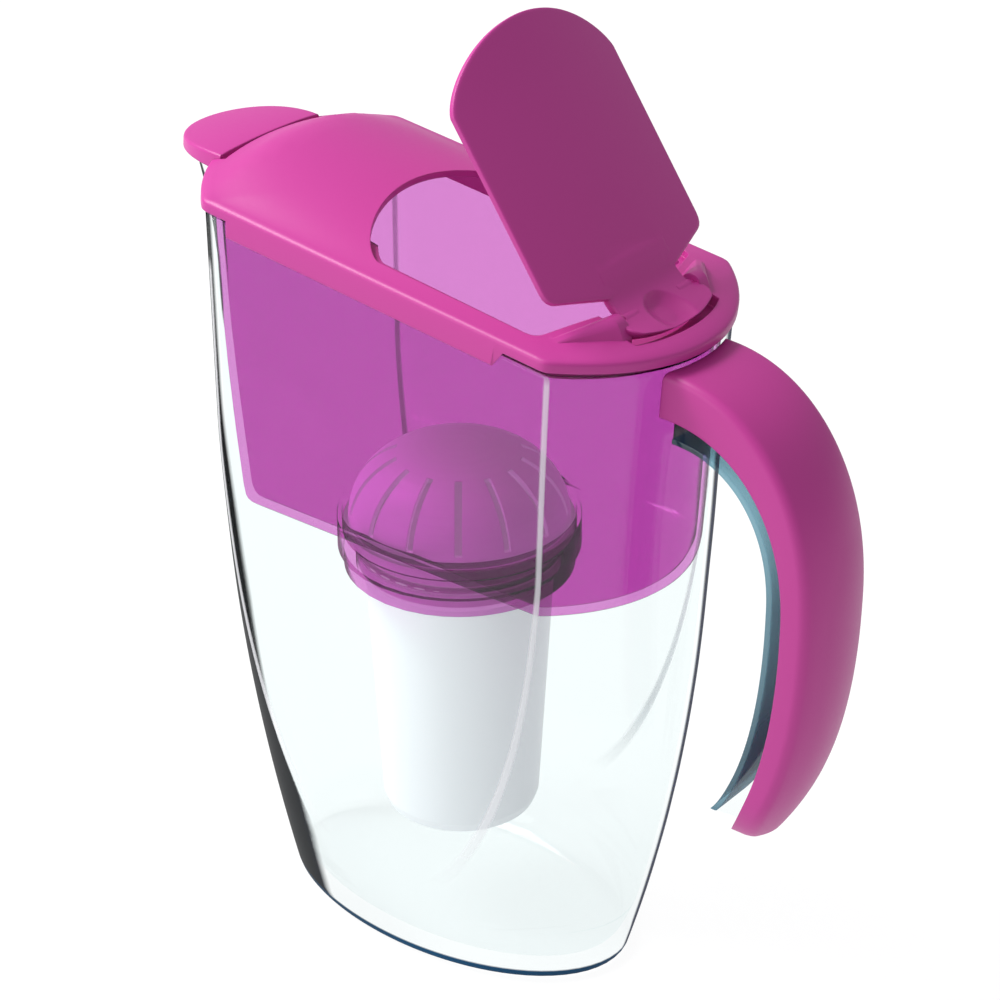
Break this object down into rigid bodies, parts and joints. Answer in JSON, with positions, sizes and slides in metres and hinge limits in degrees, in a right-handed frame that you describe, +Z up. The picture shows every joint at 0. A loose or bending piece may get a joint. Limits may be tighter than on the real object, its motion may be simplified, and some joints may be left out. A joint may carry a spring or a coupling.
{
  "type": "water filter pitcher",
  "caption": "Clear jug with a hanging funnel tank, filter cartridge, lid with flip-up fill cover and spout flap, and an open-ended handle.",
  "frame": {"origin": "middle of the foot, on the surface that the pitcher stands on", "axes": "+X to the handle, -X to the spout, +Y across, +Z up"},
  "size_m": [0.262, 0.096, 0.3341],
  "materials": {
    "clear_plastic": "clear, polished",
    "magenta_plastic": "satin moulded",
    "magenta_translucent": "translucent, polished",
    "white_plastic": "milky, satin",
    "seal_rubber": "matte",
    "fleece": "felted",
    "carbon": "granular",
    "resin": "granular"
  },
  "bodies": {
    "jug": {"jug_body": "clear_plastic", "handle_core": "clear_plastic", "handle_cover": "magenta_plastic"},
    "funnel": {"funnel_tank": "magenta_translucent"},
    "lid": {"lid_cover": "magenta_plastic"},
    "flip": {"flip_lid": "magenta_plastic"},
    "flap": {"spout_flap": "magenta_plastic"},
    "cartridge": {"cartridge_cup": "white_plastic", "cartridge_cap": "white_plastic", "cartridge_seal": "seal_rubber", "inlet_fleece": "fleece", "carbon_bed": "carbon", "middle_fleece": "fleece", "resin_bed": "resin", "outlet_fleece": "fleece"}
  },
  "joints": [
    {"name": "funnel_lift", "type": "slide", "parent": "jug", "child": "funnel", "axis": [0, 0, 1], "range_m": [0, 0.24]},
    {"name": "lid_lift", "type": "slide", "parent": "funnel", "child": "lid", "axis": [0, 0, 1], "range_m": [0, 0.1]},
    {"name": "cartridge_lift", "type": "slide", "parent": "funnel", "child": "cartridge", "axis": [0, 0, 1], "range_m": [0, 0.042]},
    {"name": "flip_hinge", "type": "hinge", "parent": "lid", "child": "flip", "pos_m": [0.07753, 0, 0.25262], "axis": [0, 1, 0], "range_deg": [-47.4, 5]},
    {"name": "flap_hinge", "type": "hinge", "parent": "lid", "child": "flap", "pos_m": [-0.0808, 0, 0.26679], "axis": [0, 1, 0], "range_deg": [0, 45]}
  ]
}
